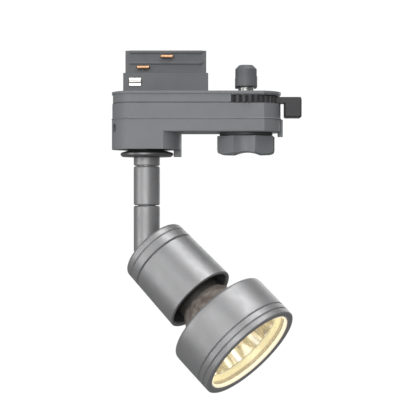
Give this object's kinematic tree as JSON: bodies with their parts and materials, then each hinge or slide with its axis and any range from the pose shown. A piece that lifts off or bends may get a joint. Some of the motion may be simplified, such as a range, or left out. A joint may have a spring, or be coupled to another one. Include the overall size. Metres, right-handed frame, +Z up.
{
  "type": "track spotlight",
  "caption": "Swivelling and tilting track spotlight: a track adapter with a lock lever and phase selector, a slim stem and a cylindrical head that holds a twist-lock reflector lamp.",
  "frame": {"origin": "middle of the adapter's seat, the flat face that rests against the underside of the track", "axes": "+X along the track, from the stem's end towards the lever's end; +Z up into the track; -Y is the side the head leans towards at rest"},
  "size_m": [0.0967, 0.0722, 0.1713],
  "materials": {
    "casing_plastic": "fine satin moulded plastic, silver grey",
    "lever_plastic": "dark grey glass-filled moulded plastic",
    "insert_plastic": "grey insulating thermoplastic",
    "shaft_steel": "zinc-plated turned steel",
    "screw_steel": "zinc-plated",
    "contact_copper": "bright copper alloy",
    "earth_spring": "nickel-plated spring",
    "block_plastic": "cream moulded plastic",
    "lead_brown": "insulated wire",
    "lead_blue": "insulated wire",
    "lead_green": "insulated wire",
    "lead_white": "heat-resistant insulated wire",
    "washer_plastic": "black low-friction plastic",
    "silver_metal": "satin silver-grey metallic coating over turned aluminium",
    "ceramic": "glazed white ceramic",
    "base_ceramic": "dark unglazed ceramic",
    "bracket_steel": "zinc-plated sheet",
    "pin_metal": "nickel-plated",
    "reflector_glass": "faceted pressed glass with a mirror coating inside",
    "quartz": "clear quartz",
    "filament_glow": "coiled tungsten wire",
    "front_glass": "clear glass",
    "clip_steel": "bright spring wire"
  },
  "bodies": {
    "adapter": {"top_plate": "casing_plastic", "main_housing": "casing_plastic", "lower_cover": "casing_plastic", "contact_carrier": "insert_plastic", "phase_contacts": "contact_copper", "neutral_contact": "contact_copper", "earth_contacts": "earth_spring", "terminal_block": "block_plastic", "terminal_screws": "screw_steel", "lead_live": "lead_brown", "lead_neutral": "lead_blue", "lead_earth": "lead_green", "cover_screws": "screw_steel", "top_screws": "screw_steel", "swivel_grub_screw": "screw_steel", "selector_studs": "contact_copper", "selector_washer": "washer_plastic", "selector_collar": "lever_plastic"},
    "lever": {"lock_lever": "lever_plastic", "lever_shaft": "shaft_steel", "lever_clip": "shaft_steel", "locking_cam": "insert_plastic"},
    "selector": {"phase_selector_knob": "casing_plastic", "selector_rotor": "block_plastic", "selector_wiper": "contact_copper", "knob_screw": "screw_steel"},
    "stem": {"rosette": "silver_metal", "stem_nipple": "shaft_steel", "swivel_washer": "washer_plastic", "friction_washer": "shaft_steel", "spring_washer": "shaft_steel", "nipple_nut": "shaft_steel", "stem_collar": "silver_metal", "stem_tube": "silver_metal", "stem_knuckle": "silver_metal", "hinge_screw": "shaft_steel", "hinge_washers": "washer_plastic", "stem_leads": "lead_white"},
    "head": {"rear_cap": "silver_metal", "rear_housing": "silver_metal", "lamp_socket": "ceramic", "socket_contacts": "contact_copper", "socket_bracket": "bracket_steel", "socket_screws": "screw_steel", "earth_screw": "screw_steel", "socket_leads": "lead_white"},
    "lamp": {"lamp_reflector": "reflector_glass", "lamp_base": "base_ceramic", "lamp_pins": "pin_metal", "halogen_capsule": "quartz", "filament": "filament_glow", "lamp_front_glass": "front_glass", "front_ring": "silver_metal", "lamp_retaining_clip": "clip_steel"}
  },
  "joints": [
    {"name": "lever_turn", "type": "hinge", "parent": "adapter", "child": "lever", "pos_m": [0.0253, 0, -0.004], "axis": [0, 0, 1], "range_deg": [-90, 0]},
    {"name": "selector_turn", "type": "hinge", "parent": "adapter", "child": "selector", "pos_m": [0.0253, 0, -0.027], "axis": [0, 0, 1], "range_deg": [-90, 180]},
    {"name": "stem_swivel", "type": "hinge", "parent": "adapter", "child": "stem", "pos_m": [-0.0253, 0, -0.0307], "axis": [0, 0, 1], "range_deg": [-68, 248]},
    {"name": "head_tilt", "type": "hinge", "parent": "stem", "child": "head", "pos_m": [-0.0253, 0, -0.076], "axis": [-0.503, -0.8643, 0], "range_deg": [-48, 31]},
    {"name": "lamp_twist", "type": "hinge", "parent": "head", "child": "lamp", "pos_m": [0.00692, -0.01875, -0.10933], "axis": [0.6443, -0.375, -0.6665], "range_deg": [0, 22]}
  ]
}
